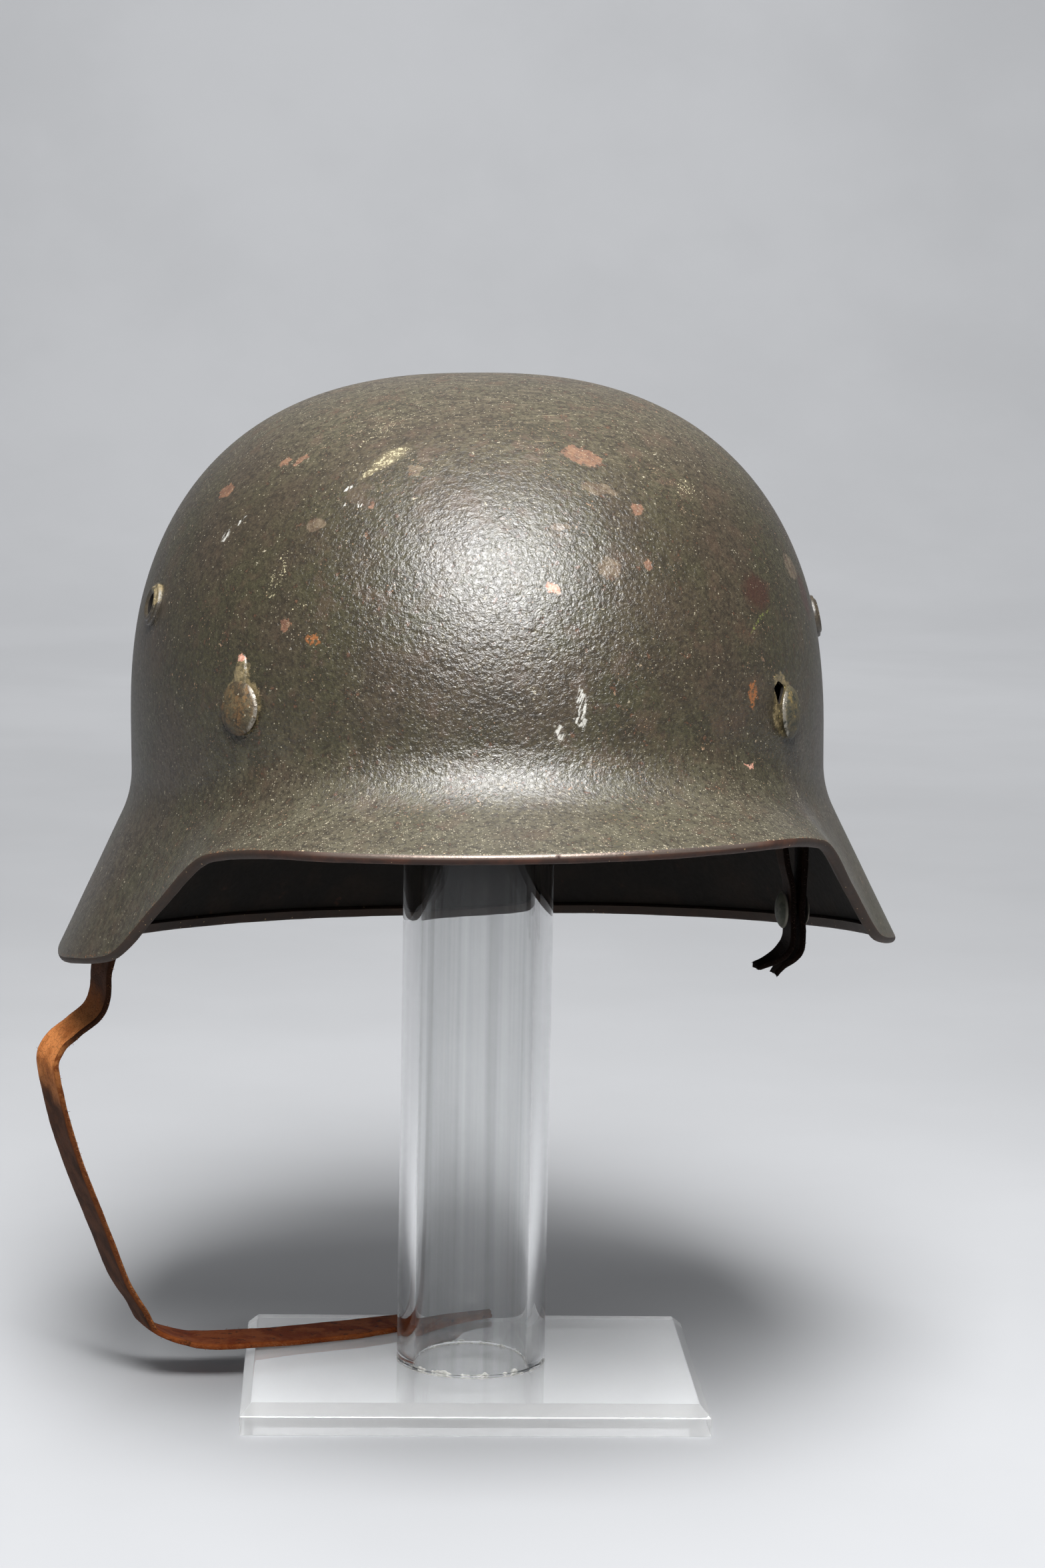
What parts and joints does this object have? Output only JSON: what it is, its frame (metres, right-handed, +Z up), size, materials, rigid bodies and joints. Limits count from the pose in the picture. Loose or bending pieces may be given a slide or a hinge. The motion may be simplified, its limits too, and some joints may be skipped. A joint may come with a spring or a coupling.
{
  "type": "stahlhelm on a clear stand",
  "caption": "Deep steel helmet with a flared skirt, a short visor and a rolled rim, side vents and leather chin straps, resting on a clear tube stand.",
  "frame": {"origin": "centre of the stand plate's underside", "axes": "+Z up; the visor points along -Y; the wearer's left is at +X"},
  "size_m": [0.2282, 0.2795, 0.273],
  "materials": {
    "painted_shell": "rough olive-brown paint, worn and rusty",
    "hoop_steel": "dull",
    "rivet_steel": "worn paint over rusty steel",
    "strap_leather": "old, dry and cracked",
    "stud_metal": "dull grey",
    "clear_acrylic": "clear acrylic"
  },
  "bodies": {
    "root": {"helmet_shell": "painted_shell", "liner_hoop": "hoop_steel", "liner_rivet_left": "rivet_steel", "liner_rivet_right": "rivet_steel", "liner_rivet_rear": "rivet_steel", "chin_strap_long": "strap_leather", "chin_strap_short": "strap_leather", "strap_stud_left": "stud_metal", "strap_stud_right": "stud_metal", "stand_tube": "clear_acrylic", "stand_base": "clear_acrylic"}
  },
  "joints": []
}
